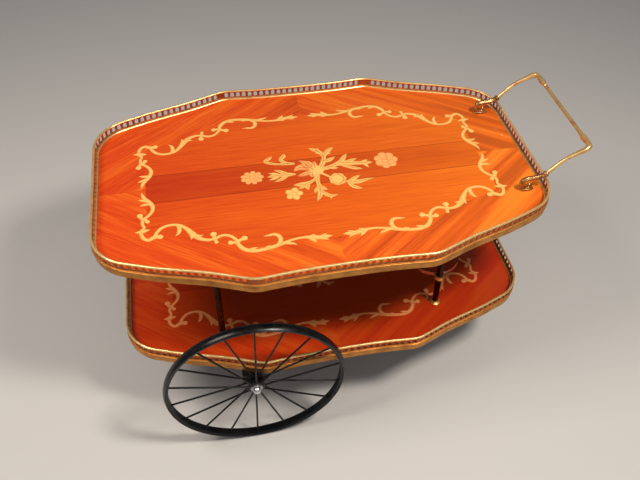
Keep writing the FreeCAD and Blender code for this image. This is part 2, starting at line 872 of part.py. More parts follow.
def main():
    os.makedirs("parts", exist_ok=True)
    legs = [leg(x, y) for x, y in leg_places().values()]
    save_tray("upper", 1.0, upper_deck_z, group(legs + bracket_screws()))
    save_tray("lower", lower_tray_scale, lower_deck_z, group(legs + axle_screws() + castor_screws()))
    save_legs()
    save_bottle_rack()
    save_handle()
    save_wheels()
    save_castors()


main()
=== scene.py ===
"""The bar cart's looks: lacquered veneer with marquetry, brass, bronzed rods, black enamel and rubber.

Metres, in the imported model's frame: +X towards the handle, +Y across the cart, +Z up, floor at Z = 0.
"""
import bmesh
import bpy
import json
import math

from mathutils import Matrix, Vector


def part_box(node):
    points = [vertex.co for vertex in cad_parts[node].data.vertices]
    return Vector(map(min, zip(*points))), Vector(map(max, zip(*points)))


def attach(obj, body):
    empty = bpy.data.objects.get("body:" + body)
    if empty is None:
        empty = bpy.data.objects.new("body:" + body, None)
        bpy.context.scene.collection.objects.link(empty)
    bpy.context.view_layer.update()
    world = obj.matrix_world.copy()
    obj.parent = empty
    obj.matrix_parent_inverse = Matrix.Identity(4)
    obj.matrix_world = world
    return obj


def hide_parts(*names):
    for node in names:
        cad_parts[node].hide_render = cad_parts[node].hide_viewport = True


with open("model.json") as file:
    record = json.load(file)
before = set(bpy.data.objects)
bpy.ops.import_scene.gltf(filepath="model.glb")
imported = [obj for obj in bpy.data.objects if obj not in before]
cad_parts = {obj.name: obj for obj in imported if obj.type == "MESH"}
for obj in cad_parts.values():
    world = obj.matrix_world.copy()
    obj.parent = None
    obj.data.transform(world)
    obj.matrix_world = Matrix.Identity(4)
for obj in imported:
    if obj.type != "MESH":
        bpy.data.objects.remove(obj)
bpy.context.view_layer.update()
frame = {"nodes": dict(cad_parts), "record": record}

MM = 0.001
SIDES = {"front": -1.0, "back": 1.0}
CENTRE_PLANK_HALF_WIDTH = 37.0 * MM


def middle(node):
    low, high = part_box(node)
    return (low + high) / 2.0


# --- places, worked out from the frame -------------------------------------------------------
tray_x = middle("upper_board").x
lower_scale = (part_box("lower_edge_band")[1].x - tray_x) / (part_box("upper_edge_band")[1].x - tray_x)
deck_z = {"upper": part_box("upper_field_planks")[1].z, "lower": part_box("lower_field_planks")[1].z}
tray_scale = {"upper": 1.0, "lower": lower_scale}
seam_y = {tier: CENTRE_PLANK_HALF_WIDTH * tray_scale[tier] for tier in deck_z}


# --- materials -------------------------------------------------------------------------------
def srgb(red, green, blue):
    """A display colour, 0 to 255, as the linear colour that a shader takes."""
    def linear(value):
        value /= 255.0
        return value / 12.92 if value <= 0.04045 else ((value + 0.055) / 1.055) ** 2.4
    return (linear(red), linear(green), linear(blue), 1.0)


# Veneers, each as (light, middle, dark), and the colours that change them along the tray: a lighter orange as
# painted light towards the handle end, a darker red as painted shade towards the wheel end, and a red stain
# with painted shade on the lower tier.
FIELD_TONES = (srgb(236, 108, 26), srgb(218, 88, 20), srgb(190, 64, 14))
FIELD_PAINTED_LIGHT_ORANGE = srgb(244, 140, 30)
FIELD_PAINTED_SHADE_RED = srgb(196, 44, 12)
FIELD_STAIN_AND_PAINTED_SHADE = srgb(164, 18, 8)
CENTRE_PLANK_RED = srgb(160, 30, 10)
SEAM_BROWN = srgb(90, 22, 8)
CROSSBAND_TONES = (srgb(240, 124, 36), srgb(216, 78, 20), srgb(162, 38, 10))
CROSSBAND_PAINTED_LIGHT_ORANGE = srgb(248, 146, 40)
CROSSBAND_PAINTED_SHADE_RED = srgb(216, 62, 14)
CROSSBAND_STAIN_AND_PAINTED_SHADE = srgb(180, 24, 8)
MITRE_BROWN = srgb(110, 32, 10)
BOARD_TONES = (srgb(92, 40, 22), srgb(66, 26, 14), srgb(40, 15, 9))
# The tray's wood inlay, each as (light, scorched). The lower tier's copy is tinted redder as painted shade
# under the upper tray.
PALE_TONES_LIT_AND_SHADED = {
    "upper": (srgb(244, 190, 106), srgb(210, 126, 50)),
    "lower": (srgb(246, 156, 94), srgb(212, 94, 44)),
}
FLOWER_TONES = (srgb(246, 172, 100), srgb(208, 98, 38))
VEIN_TONES = (srgb(176, 92, 34), srgb(110, 44, 14))
# Brass, each as (bright, dull, roughness, how much of it is dull, patches a metre).
BRASSES = {
    "polished_brass": (srgb(240, 182, 96), srgb(194, 128, 54), 0.3, 0.4, 40.0),
    "aged_brass": (srgb(202, 138, 64), srgb(172, 110, 48), 0.4, 0.5, 40.0),
    "rubbed_brass": (srgb(246, 202, 134), srgb(206, 152, 92), 0.3, 0.45, 70.0),
    "cast_brass": (srgb(192, 146, 92), srgb(134, 88, 50), 0.24, 0.55, 90.0),
}
# The gallery's rail and foot, and the strip between them, each as (clean, tarnished). The rail and foot are
# lightened as a painted highlight, beside their polish.
RAIL_TONES_WITH_PAINTED_HIGHLIGHT = (srgb(255, 214, 142), srgb(220, 156, 84))
STRIP_TONES = (srgb(192, 106, 50), srgb(150, 74, 34))
# Heights over the deck between which the brown begins, and between which it ends.
STRIP_BASE = (2.2 * MM, 3.4 * MM)
STRIP_TOP = (15.4 * MM, 16.6 * MM)
# Steel and plating, each as (colour, roughness).
STEELS = {
    "plain_steel": (srgb(176, 176, 178), 0.3),
    "chrome": (srgb(226, 226, 228), 0.2),
    "bright_nickel": (srgb(214, 204, 192), 0.16),
}
SMUDGE_GREY = srgb(120, 118, 114)
# Rods, enamel and nylon, each as (clean, worn or dusty).
ROD_TONES = (srgb(44, 24, 17), srgb(96, 56, 32))
ENAMEL_TONES = (srgb(9, 9, 10), srgb(22, 21, 21))
NYLON_TONES = (srgb(30, 30, 31), srgb(52, 51, 50))
# Rubber, each as (clean, dusty, roughness).
RUBBERS = {
    "wheel_rubber": (srgb(9, 9, 10), srgb(24, 23, 23), 0.24),
    "castor_rubber": (srgb(44, 43, 43), srgb(84, 82, 80), 0.5),
}

# How often each part of a veneer's figure repeats along and across the grain, in cycles a metre.
FIELD_BANDS = (2.2, 26.0)
CROSSBAND_BANDS = (1.4, 30.0)
FLECKS = (13.0, 300.0)
PORES = (90.0, 1500.0)
# Where the dark, middle and light tones lie in the figure.
FIGURE_STOPS = (0.34, 0.5, 0.66)
# Half of the length over which the field and the border change along the tray.
FIELD_HALF_LENGTH = 0.32
BORDER_HALF_LENGTH = 0.4
CROSSBAND_SLANT = math.radians(37.0)
SEAM_HALF_WIDTH = 0.7 * MM
MITRE_HALF_WIDTH = 0.5 * MM
VENEER_GRAIN = {"strength": 0.04, "depth": 0.15 * MM}
# How far each tier's veneer is turned towards a darker red, at the middle of its length: on the lower tier a
# red stain together with painted shade under the upper tray.
RED_STAIN_AND_PAINTED_SHADE = {"upper": 0.0, "lower": 0.6}
LACQUER = {"Roughness": 0.5, "Coat_Weight": 0.5, "Coat_Roughness": 0.08, "Coat_IOR": 1.42,
           "Specular_IOR_Level": 0.08}


class Surface:
    """A material, with short calls for the nodes that it is built from."""

    def __init__(self, name):
        self.material = bpy.data.materials.new(name)
        self.material.use_nodes = True
        self.tree = self.material.node_tree
        self.shader = self.tree.nodes["Principled BSDF"]
        self.place = self.node("ShaderNodeTexCoord").outputs["Object"]

    def node(self, kind, **settings):
        made = self.tree.nodes.new(kind)
        for name, value in settings.items():
            setattr(made, name, value)
        return made

    def feed(self, socket, value):
        if isinstance(value, bpy.types.NodeSocket):
            self.tree.links.new(value, socket)
        else:
            socket.default_value = value

    def set(self, **values):
        """Sets or links the shader's own sockets, such as Base_Color."""
        for name, value in values.items():
            self.feed(self.shader.inputs[name.replace("_", " ")], value)

    def math(self, operation, first, second=0.0):
        made = self.node("ShaderNodeMath", operation=operation)
        self.feed(made.inputs[0], first)
        self.feed(made.inputs[1], second)
        return made.outputs[0]

    def grade(self, value, at_zero, at_one):
        """A number that runs evenly from at_zero to at_one as value goes from 0 to 1."""
        return self.math("ADD", at_zero, self.math("MULTIPLY", value, at_one - at_zero))

    def split(self, vector):
        made = self.node("ShaderNodeSeparateXYZ")
        self.feed(made.inputs[0], vector)
        return made.outputs

    def join(self, x, y, z):
        made = self.node("ShaderNodeCombineXYZ")
        for socket, value in zip(made.inputs, (x, y, z)):
            self.feed(socket, value)
        return made.outputs[0]

    def scaled(self, vector, scale):
        made = self.node("ShaderNodeVectorMath", operation="MULTIPLY")
        self.feed(made.inputs[0], vector)
        self.feed(made.inputs[1], scale)
        return made.outputs[0]

    def noise(self, vector, scale=1.0, detail=4.0, roughness=0.55, distortion=0.0):
        made = self.node("ShaderNodeTexNoise")
        self.feed(made.inputs["Vector"], vector)
        self.feed(made.inputs["Scale"], scale)
        self.feed(made.inputs["Detail"], detail)
        self.feed(made.inputs["Roughness"], roughness)
        self.feed(made.inputs["Distortion"], distortion)
        return made.outputs["Fac"]

    def ramp(self, factor, *stops):
        """Colour stops as (position, colour)."""
        made = self.node("ShaderNodeValToRGB")
        self.feed(made.inputs[0], factor)
        made.color_ramp.elements[0].position = stops[0][0]
        made.color_ramp.elements[0].color = stops[0][1]
        made.color_ramp.elements[1].position = stops[-1][0]
        made.color_ramp.elements[1].color = stops[-1][1]
        for position, colour in stops[1:-1]:
            made.color_ramp.elements.new(position).color = colour
        return made.outputs[0]

    def span(self, value, low, high, to_low=0.0, to_high=1.0):
        made = self.node("ShaderNodeMapRange")
        for socket, number in zip(made.inputs, (value, low, high, to_low, to_high)):
            self.feed(socket, number)
        return made.outputs[0]

    def mix(self, factor, first, second):
        made = self.node("ShaderNodeMix", data_type="RGBA")
        self.feed(made.inputs[0], factor)
        self.feed(made.inputs[6], first)
        self.feed(made.inputs[7], second)
        return made.outputs[2]

    def bump(self, height, strength, depth):
        made = self.node("ShaderNodeBump")
        self.feed(made.inputs["Height"], height)
        self.feed(made.inputs["Strength"], strength)
        self.feed(made.inputs["Distance"], depth)
        self.set(Normal=made.outputs[0])


def veneer_colour(surface, along, across, tones, seed, bands=FIELD_BANDS, share=0.35, contrast=1.0):
    """Figured veneer: soft bands, short flecks and pores that all run along the grain.

    tones are (light, middle, dark), share is how much of the figure the soft bands make, and contrast
    spreads it towards the light and dark tones.
    """
    light, middle_tone, dark = tones

    def figure(rates, shift, **settings):
        place = surface.join(surface.math("MULTIPLY", along, rates[0]),
                             surface.math("MULTIPLY", across, rates[1]),
                             surface.math("ADD", seed, shift))
        return surface.noise(place, **settings)

    broad = figure(bands, 0.0, detail=2.0, distortion=0.3)
    flecks = figure(FLECKS, 3.0, detail=4.0)
    pores = figure(PORES, 7.0, detail=2.0)
    tone = surface.math("ADD", surface.math("MULTIPLY", broad, share),
                        surface.math("MULTIPLY", flecks, surface.math("SUBTRACT", 1.0, share)))
    from_middle = surface.math("SUBTRACT", tone, 0.5)
    tone = surface.math("ADD", 0.5, surface.math("MULTIPLY", from_middle, contrast))
    colour = surface.ramp(tone, *zip(FIGURE_STOPS, (dark, middle_tone, light)))
    pore_mask = surface.span(pores, 0.60, 0.72, 0.0, 0.3)
    return surface.mix(pore_mask, colour, dark), flecks


def line_mask(surface, distance, half_width):
    """1 on a thin line where distance is near zero, 0 away from it."""
    return surface.span(surface.math("ABSOLUTE", distance), half_width * 0.5, half_width * 1.5, 1.0, 0.0)


def field_veneer(tier):
    """Lengthwise planks with tight dark seams between them.

    The middle plank is redder. Towards the wheel end they are darker red as painted shade, and towards the
    handle end lighter orange as painted light.
    """
    s = Surface(tier + "_field_veneer")
    x, y, _ = s.split(s.place)
    across = s.math("ABSOLUTE", y)
    in_middle = s.math("LESS_THAN", across, seam_y[tier])
    seed = s.math("ADD", s.math("MULTIPLY", in_middle, 5.0), s.math("MULTIPLY", s.math("SIGN", y), 11.0))
    waver = s.math("MULTIPLY", s.noise(s.scaled(s.place, (4.0, 9.0, 1.0)), detail=1.0), 0.008)
    colour, flecks = veneer_colour(s, x, s.math("ADD", y, waver), FIELD_TONES, seed)
    length = s.span(s.math("SUBTRACT", x, tray_x), -FIELD_HALF_LENGTH, FIELD_HALF_LENGTH)
    # Painted light: lighter orange towards the handle end, where the key light falls.
    colour = s.mix(s.grade(length, 0.0, 0.35), colour, FIELD_PAINTED_LIGHT_ORANGE)
    # Painted shade: darker red towards the wheel end.
    painted_shade_redness = s.grade(length, 0.5, 0.0)
    colour = s.mix(painted_shade_redness, colour, FIELD_PAINTED_SHADE_RED)
    colour = s.mix(s.math("MULTIPLY", in_middle, s.grade(painted_shade_redness, 0.2, 0.8)), colour, CENTRE_PLANK_RED)
    # Darker red on the lower tier, partly stain and partly painted shade, stronger towards the handle end.
    stain_and_shade = s.math("MULTIPLY", RED_STAIN_AND_PAINTED_SHADE[tier], s.grade(length, 0.7, 1.3))
    colour = s.mix(stain_and_shade, colour, FIELD_STAIN_AND_PAINTED_SHADE)
    seam = line_mask(s, s.math("SUBTRACT", across, seam_y[tier]), SEAM_HALF_WIDTH)
    colour = s.mix(s.math("MULTIPLY", seam, 0.6), colour, SEAM_BROWN)
    s.set(Base_Color=colour, **LACQUER)
    s.bump(flecks, **VENEER_GRAIN)
    return s.material


def crossband_veneer(tier):
    """Border veneers laid on the slant, mirrored across both middle lines, with a mitre at each end.

    The figure is finer and quieter at the wheel end, and boldly banded at the handle end.
    """
    s = Surface(tier + "_crossband_veneer")
    x, y, _ = s.split(s.place)
    x = s.math("SUBTRACT", x, tray_x)
    aside_x, aside_y = s.math("ABSOLUTE", x), s.math("ABSOLUTE", y)
    along = s.math("SUBTRACT", s.math("MULTIPLY", aside_x, math.cos(CROSSBAND_SLANT)),
                   s.math("MULTIPLY", aside_y, math.sin(CROSSBAND_SLANT)))
    across = s.math("ADD", s.math("MULTIPLY", aside_x, math.sin(CROSSBAND_SLANT)),
                    s.math("MULTIPLY", aside_y, math.cos(CROSSBAND_SLANT)))
    seed = s.math("ADD", s.math("MULTIPLY", s.math("SIGN", x), 13.0),
                  s.math("MULTIPLY", s.math("SIGN", y), 5.0))
    length = s.span(x, -BORDER_HALF_LENGTH, BORDER_HALF_LENGTH)
    share = s.grade(length, 0.42, 0.92)
    contrast = s.grade(length, 1.0, 2.0)
    colour, flecks = veneer_colour(s, along, across, CROSSBAND_TONES, seed, CROSSBAND_BANDS, share, contrast)
    # Painted light and shade along the tray: lighter orange towards the handle end, darker red towards the
    # wheel end.
    colour = s.mix(s.grade(length, 0.0, 0.3), colour, CROSSBAND_PAINTED_LIGHT_ORANGE)
    colour = s.mix(s.grade(length, 0.45, 0.0), colour, CROSSBAND_PAINTED_SHADE_RED)
    # Darker red on the lower tier, partly stain and partly painted shade, stronger towards the handle end.
    stain_and_shade = s.math("MULTIPLY", RED_STAIN_AND_PAINTED_SHADE[tier], s.grade(length, 0.65, 1.4))
    colour = s.mix(stain_and_shade, colour, CROSSBAND_STAIN_AND_PAINTED_SHADE)
    mitre = line_mask(s, y, MITRE_HALF_WIDTH)
    colour = s.mix(s.math("MULTIPLY", mitre, 0.35), colour, MITRE_BROWN)
    s.set(Base_Color=colour, **LACQUER)
    s.bump(flecks, **VENEER_GRAIN)
    return s.material


def inlay_wood(name, light, scorched):
    """Pale marquetry wood, scorched along its edges, under the same lacquer."""
    s = Surface(name)
    shade = s.node("ShaderNodeAttribute", attribute_name="shade").outputs["Fac"]
    grain = s.noise(s.scaled(s.place, (90.0, 500.0, 1.0)), detail=3.0)
    tone = s.math("ADD", s.math("MULTIPLY", shade, 0.75),
                  s.math("MULTIPLY", s.math("SUBTRACT", grain, 0.5), 0.5))
    s.set(Base_Color=s.ramp(tone, (0.15, light), (0.95, scorched)), **LACQUER)
    return s.material


def board_wood():
    """Stained core and underside, satin, with a plain lengthwise grain."""
    s = Surface("stained_board")
    x, y, _ = s.split(s.place)
    colour, flecks = veneer_colour(s, x, y, BOARD_TONES, 2.0)
    s.set(Base_Color=colour, Roughness=s.span(flecks, 0.2, 0.8, 0.42, 0.58))
    s.bump(flecks, strength=0.2, depth=0.3 * MM)
    return s.material


def brass(name, bright, dull, rough, dullness, scale):
    """Brass with soft tarnish in patches, and a faint unevenness left by its polishing."""
    s = Surface(name)
    patches = s.noise(s.place, scale, detail=4.0, roughness=0.5)
    mask = s.span(patches, 0.62 - dullness * 0.4, 0.82 - dullness * 0.3)
    s.set(Base_Color=s.mix(mask, bright, dull), Metallic=0.75,
          Roughness=s.span(mask, 0.0, 1.0, rough, rough + 0.15))
    s.bump(s.noise(s.place, scale=160.0, detail=3.0), strength=0.03, depth=0.15 * MM)
    return s.material


def gallery_brass(tier):
    """Pierced strip, browned where the cloth never reaches it, between a rail and a foot that are polished
    and lightened as a painted highlight.
    """
    s = Surface(tier + "_gallery_brass")
    height = s.math("SUBTRACT", s.split(s.place)[2], deck_z[tier])
    recess = s.math("MULTIPLY", s.span(height, *STRIP_BASE), s.span(height, *STRIP_TOP, 1.0, 0.0))
    patches = s.noise(s.place, scale=60.0, detail=4.0)
    # Rail and foot: polish, lightened as a painted highlight.
    polished_and_highlit = s.mix(s.span(patches, 0.5, 0.8), *RAIL_TONES_WITH_PAINTED_HIGHLIGHT)
    browned = s.mix(s.span(patches, 0.35, 0.7), *STRIP_TONES)
    s.set(Base_Color=s.mix(recess, polished_and_highlit, browned), Metallic=0.7,
          Roughness=s.span(recess, 0.0, 1.0, 0.3, 0.5))
    s.bump(s.noise(s.place, scale=120.0, detail=2.0), strength=0.02, depth=0.15 * MM)
    return s.material


def bronzed_metal():
    """Dark bronzed rod with warm metal showing where hands have rubbed it."""
    s = Surface("bronzed_rod")
    worn = s.span(s.noise(s.scaled(s.place, (60.0, 60.0, 14.0)), detail=5.0), 0.52, 0.75)
    s.set(Base_Color=s.mix(worn, *ROD_TONES), Metallic=1.0, Roughness=s.span(worn, 0.0, 1.0, 0.2, 0.32))
    s.bump(s.noise(s.place, scale=350.0, detail=3.0), strength=0.1, depth=0.1 * MM)
    return s.material


def black_enamel():
    """Black stove enamel with faint orange peel and a film of dust."""
    s = Surface("black_enamel")
    dust = s.span(s.noise(s.place, scale=30.0, detail=6.0), 0.45, 0.8)
    s.set(Base_Color=s.mix(dust, *ENAMEL_TONES), Specular_IOR_Level=0.3,
          Roughness=s.span(dust, 0.0, 1.0, 0.3, 0.45))
    s.bump(s.noise(s.place, scale=700.0, detail=2.0), strength=0.12, depth=0.08 * MM)
    return s.material


def rubber(name, clean, dusty, rough):
    """Solid rubber, greyer where dust has settled on it."""
    s = Surface(name)
    dust = s.span(s.noise(s.place, scale=55.0, detail=7.0, roughness=0.65), 0.42, 0.78)
    s.set(Base_Color=s.mix(dust, clean, dusty), Specular_IOR_Level=0.3,
          Roughness=s.span(dust, 0.0, 1.0, rough, rough + 0.2))
    s.bump(s.noise(s.place, scale=1400.0, detail=2.0), strength=0.25, depth=0.1 * MM)
    return s.material


def steel(name, tone, rough):
    """Turned metal with fine rings about Y, the axles' direction, and light smudges."""
    s = Surface(name)
    smudge = s.span(s.noise(s.place, scale=70.0, detail=5.0), 0.35, 0.75)
    s.set(Base_Color=s.mix(s.math("MULTIPLY", smudge, 0.5), tone, SMUDGE_GREY), Metallic=1.0,
          Roughness=s.span(smudge, 0.0, 1.0, rough, rough + 0.18))
    rings = s.noise(s.scaled(s.place, (400.0, 2600.0, 400.0)), detail=2.0)
    s.bump(rings, strength=0.08, depth=0.05 * MM)
    return s.material


def nylon():
    """Moulded nylon with a fine matt texture."""
    s = Surface("bush_plastic")
    mottled = s.noise(s.place, scale=120.0, detail=4.0)
    s.set(Base_Color=s.mix(mottled, *NYLON_TONES), Roughness=s.span(mottled, 0.3, 0.7, 0.4, 0.55))
    s.bump(s.noise(s.place, scale=1800.0, detail=2.0), strength=0.2, depth=0.05 * MM)
    return s.material


materials = {
    "tray_board": board_wood(),
    "bronzed_rod": bronzed_metal(),
    "black_steel": black_enamel(),
    "bush_plastic": nylon(),
}
materials.update({name: brass(name, *look) for name, look in BRASSES.items()})
materials.update({name: steel(name, *look) for name, look in STEELS.items()})
materials.update({name: rubber(name, *look) for name, look in RUBBERS.items()})
for part in ("front", "middle", "back", "webs"):
    materials["bottle_ring_" + part] = materials["bright_nickel"]
for tier in deck_z:
    strip = gallery_brass(tier)
    for length in ("front", "back", "wheel_end", "handle_end"):
        materials[tier + "_gallery_" + length] = strip
    materials[tier + "_field_planks"] = field_veneer(tier)
    materials[tier + "_crossband"] = crossband_veneer(tier)
# The lower tier's pale inlay is a shaded copy of the upper's, tinted redder as painted shade.
inlay_pale = {tier: inlay_wood(tier + "_inlay_pale", *tones) for tier, tones in PALE_TONES_LIT_AND_SHADED.items()}
inlay_flower = inlay_wood("inlay_flower", *FLOWER_TONES)
inlay_vein = inlay_wood("inlay_vein", *VEIN_TONES)


def dress_frame():
    """Gives each CAD node its material: its own if it has one, otherwise its slot's."""
    for row in frame["record"]["subparts"]:
        node = frame["nodes"][row["node"]]
        node.data.materials.clear()
        node.data.materials.append(materials.get(row["node"]) or materials[row["material_slot"]])


# --- marquetry -------------------------------------------------------------------------------
# Strokes of the border ornament in one quarter of the upper tray: (x, y, width) in millimetres.
BORDER_STROKES = [
    # leaf garland that ends near the middle of the long side
    [(9, 172.5, 0), (18, 173, 7), (30, 173.5, 8), (42, 171, 9), (56, 168.5, 5), (70, 169, 4.2),
     (84, 172.5, 5), (96, 176.5, 6.5), (112, 181, 7), (130, 184.2, 6.2), (144, 184, 6.5), (157, 178.4, 7),
     (164.5, 169, 7), (168.5, 160, 5)],
    [(18, 166, 0), (24, 169, 4), (32, 173, 5)],
    [(17, 182, 0), (23, 178, 4), (32, 174, 5)],
    [(38, 164, 0), (42, 167, 5), (50, 170.5, 5)],
    [(38, 183, 0), (42, 178, 5), (49, 171, 6)],
    [(71, 183, 0), (77, 179.5, 4), (90, 176, 5)],
    [(115, 176, 0), (119, 178.5, 3.5), (126, 183, 3)],
    [(136, 176.5, 0), (142, 178.5, 4.5), (152, 181, 4)],
    # hook inside the long side
    [(124, 153.5, 0), (114, 152.5, 4), (104.5, 151.8, 5.5), (98, 157, 6.5), (96, 165, 7), (99, 174, 6.5),
     (108, 181, 4)],
    # crossing with its two balls
    [(151, 153.5, 3), (157, 152.5, 5), (164, 156, 6), (171, 159, 6), (178, 158, 4)],
    # arch towards the second crossing
    [(166, 163, 5), (169.5, 152.5, 5.5), (177.5, 142.5, 5), (188, 138.6, 5), (197, 141, 5.5),
     (203.5, 145, 5)],
    [(204.5, 134, 3), (204, 140, 5.5), (202.5, 147, 6), (201.5, 153.5, 0)],
    # long run through the leaf tuft, over the end arch, down to the corner scroll
    [(199, 142.5, 4), (211, 145, 5), (223, 141.8, 6.5), (233, 133.5, 9), (241, 122, 9), (248, 111, 6.5),
     (257.5, 101.5, 5.2), (269, 98, 5), (280.5, 98.8, 5.2), (290, 104, 5.6), (297, 113, 5.6),
     (300.5, 121, 5)],
    [(221, 131, 0), (227, 132.5, 4), (236, 131, 7)],
    [(242, 139, 0), (240, 131, 6), (242, 121, 7)],
    # hook inside the end arch
    [(267, 125.5, 0), (261.5, 119.5, 5), (259.5, 110, 6.5), (261.5, 101, 5)],
    # corner scroll, its ball and its crossing leaf
    [(288, 123.5, 3), (295, 121.5, 7), (303, 123.5, 7), (310, 127.4, 6), (317.5, 123.5, 5.5),
     (321.5, 114, 5.5), (321.8, 104, 6), (317, 96.5, 4.5), (319.6, 86.5, 5), (318, 76, 6), (315.6, 72, 5)],
    [(307, 102.6, 0), (314, 104, 6), (323, 105.5, 7), (332.5, 105.5, 0)],
    [(311, 83, 0), (313.5, 78.5, 6), (320.5, 73, 6), (323.5, 67, 4)],
    # last curve, which ends in a leaf near the middle of the short side
    [(317.5, 75, 5), (308.5, 66.8, 5), (302.8, 57.6, 5.5), (301.3, 48, 6.5), (303.8, 39, 7), (309, 30.5, 7.5),
     (314.5, 22.5, 6.5), (318, 13.5, 4.5), (319.3, 5, 0)],
    [(325.5, 24, 0), (319.5, 26, 4.5), (311, 29, 6)],
    [(323.5, 41, 0), (316.5, 38.5, 4.5), (307, 37.5, 6)],
]
# Balls between the strokes, in the same quarter: (x, y, radius).
BORDER_BALLS = [
    (155, 151.8, 5.4), (178.5, 158, 4.8), (204.5, 132.8, 5.4), (201.5, 152.5, 3.4), (291.5, 122.8, 5),
    (323.2, 65.4, 5.2), (311, 82.5, 4),
]

# Leaves and stems of the bouquet, the same way, over the whole tray.
BOUQUET_STROKES = [
    # spray to the left
    [(-43, -3.5, 3), (-58, -2.5, 9), (-74, -2, 8), (-86, -2.2, 7), (-97, -2.4, 0)],
    [(-60, 1, 6), (-71, 9, 6), (-83, 16, 0)],
    [(-76, 1, 5), (-84, 5, 5), (-93, 6.5, 0)],
    [(-60, -6, 6), (-72, -14, 6), (-87, -19.5, 0)],
    [(-76, -6, 5), (-85, -10, 5), (-94, -12, 0)],
    # scroll to the upper left
    [(-40, 26.5, 4), (-52, 28.5, 6.5), (-66, 29.5, 4.5), (-80, 33, 5), (-93, 41.5, 6), (-85, 50, 6),
     (-77, 56, 0)],
    [(-50, 29, 4), (-61, 35.5, 6.5), (-63.5, 44, 6.5), (-57.5, 52, 7.5), (-55.5, 60.5, 0)],
    # spray upward
    [(4, 6, 7), (12, 20, 8), (17, 37, 6.5), (14, 47, 7), (9.5, 55, 7.5), (1, 62, 7), (-8, 69.5, 0)],
    [(10.5, 53, 5), (9, 60, 6), (9.5, 66.5, 0)],
    [(3.5, 50, 0), (8, 51, 5), (13, 48, 5)],
    [(17, 38, 6), (24, 49, 8), (32, 57, 7), (42, 64, 0)],
    [(33, 46, 0), (27, 46, 5), (21, 43.5, 5)],
    [(15, 22, 5), (27, 27, 8), (39.5, 35, 0)],
    # spray to the right
    [(6, 3, 9), (20, 5, 8), (33, 10, 8), (45, 14, 12), (58, 12, 11), (71, 9, 9), (86, 7, 8), (96, 6, 7),
     (106, 5.5, 0)],
    [(44, 16, 8), (51, 24, 8), (56, 32, 6), (63, 39.5, 0)],
    [(56, 14, 6), (66, 18, 7), (79.5, 22.5, 0)],
    [(85, 9, 5), (91, 12, 5), (97, 15, 0)],
    [(87, 6, 5), (91, -1, 5), (94.5, -9, 0)],
    [(46, 9, 7), (58, 0, 7), (69, -6, 7), (84, -10.5, 0)],
    [(22, 4, 5), (31, 1, 5), (38, 1, 0)],
    # stem of the bud and the leaf beyond it
    [(4, -9, 4), (11, -16, 4), (18, -23, 3)],
    [(43, -39, 3), (55, -43, 9), (68, -44, 9), (82, -41, 5), (100, -39, 0)],
    [(50, -40, 5), (62, -33, 7), (74, -26.5, 0)],
    [(48, -43, 5), (52, -53, 7), (60, -60.5, 6), (71, -64, 0)],
    # spray downward
    [(-5, -6, 12), (-6.5, -22, 8), (-7, -37, 6), (-6.5, -50, 9), (-8.5, -64, 8), (-13, -75, 6),
     (-19, -84, 0)],
    [(-7, -47, 5), (-14, -54, 6), (-20, -63, 0)],
    [(-5, -45, 5), (1, -52, 6), (7, -58, 0)],
    [(-7, -55, 5), (-1, -66, 7), (10, -74, 6), (24, -71, 0)],
    [(7, -82, 0), (8, -77, 4), (11, -73, 4)],
    # leaf to the lower left
    [(-9, -22, 5), (-19, -30, 6), (-31, -35, 11), (-42, -34.5, 8), (-54, -34, 0)],
    [(-31, -37, 7), (-38, -42, 6), (-47, -47, 0)],
    [(-27, -36, 7), (-28.5, -44, 7), (-27, -53, 0)],
]
# Lily and petals behind the knot, in the warmer wood.
PETAL_STROKES = [
    [(-8, 2, 8), (-20, 12, 14), (-34, 13, 12), (-46, 4, 0)],
    [(-8, 4, 8), (-19, 17, 13), (-23, 27, 8), (-33, 35, 0)],
    [(-12, 12, 6), (-14, 22, 10), (-20, 32, 0)],
    [(-10, -2, 8), (-22, -5, 9), (-32, -8, 7), (-42, -9, 0)],
    [(-5, 6, 9), (-5, 17, 9), (-2.5, 29, 0)],
    [(-12, -3, 6), (-14, -12, 8), (-16, -18, 0)],
]
# Blossoms: centre, radius along x and y, and their rings of petals from the outside in, each as
# (petals, how far out they sit, petal length, petal width), the last three as shares of the radius.
BLOSSOMS = [
    ((-123, 0.5), (21.5, 17.5), [(9, 0.66, 0.34, 0.32), (6, 0.36, 0.32, 0.28), (1, 0.0, 0.28, 0.28)]),
    ((131, 7), (23.0, 24.5), [(7, 0.64, 0.36, 0.36), (5, 0.38, 0.32, 0.32), (3, 0.16, 0.28, 0.24)]),
]
STAR_FLOWER = ((-55.5, -57), (16.5, 17.5), [(5, 0.52, 0.48, 0.38), (1, 0.0, 0.26, 0.26)])
BUD = ((30, -31), (16.5, 18.0), [(7, 0.56, 0.42, 0.42), (1, 0.0, 0.74, 0.74)])
# The knot where the stems meet: centre, radii, and how its rim is cut into lobes.
KNOT = {"centre": (-3, 1), "radii": (15, 15), "lobes": 7, "cut": 0.2, "turn": math.radians(10.0),
        "shades": (0.5, 0.0)}

# Distance between samples along a curve, and how much wider a stroke is drawn than its listed width.
STROKE_STEP = 1.4
BORDER_SWELL = 1.15
BOUQUET_SWELL = 1.25
# Veins run down the strokes that are at least this wide.
VEINED_WIDTH = 5.5
VEIN_WIDTH = 0.7
LEAST_WIDTH = 0.5
# How far the first piece stands over the deck, how far each reaches into it, and the rise of each later
# piece over the one before, so that no two faces lie in one plane.
INLAY_RISE = 0.10
INLAY_DEPTH = 0.30
LAYER_STEP = 0.006
# How many pieces lie under the first leaf, the first small flower and the first vein.
LEAVES_LAYER = 12
SMALL_FLOWERS_LAYER = 40
VEINS_LAYER = 50

BALL_SIDES = 20
KNOT_SIDES = 72
PETAL_SIDES = 28
# The pale middle of a ball and of a petal, as a share of its outline.
BALL_MIDDLE = 0.62
PETAL_MIDDLE = 0.6


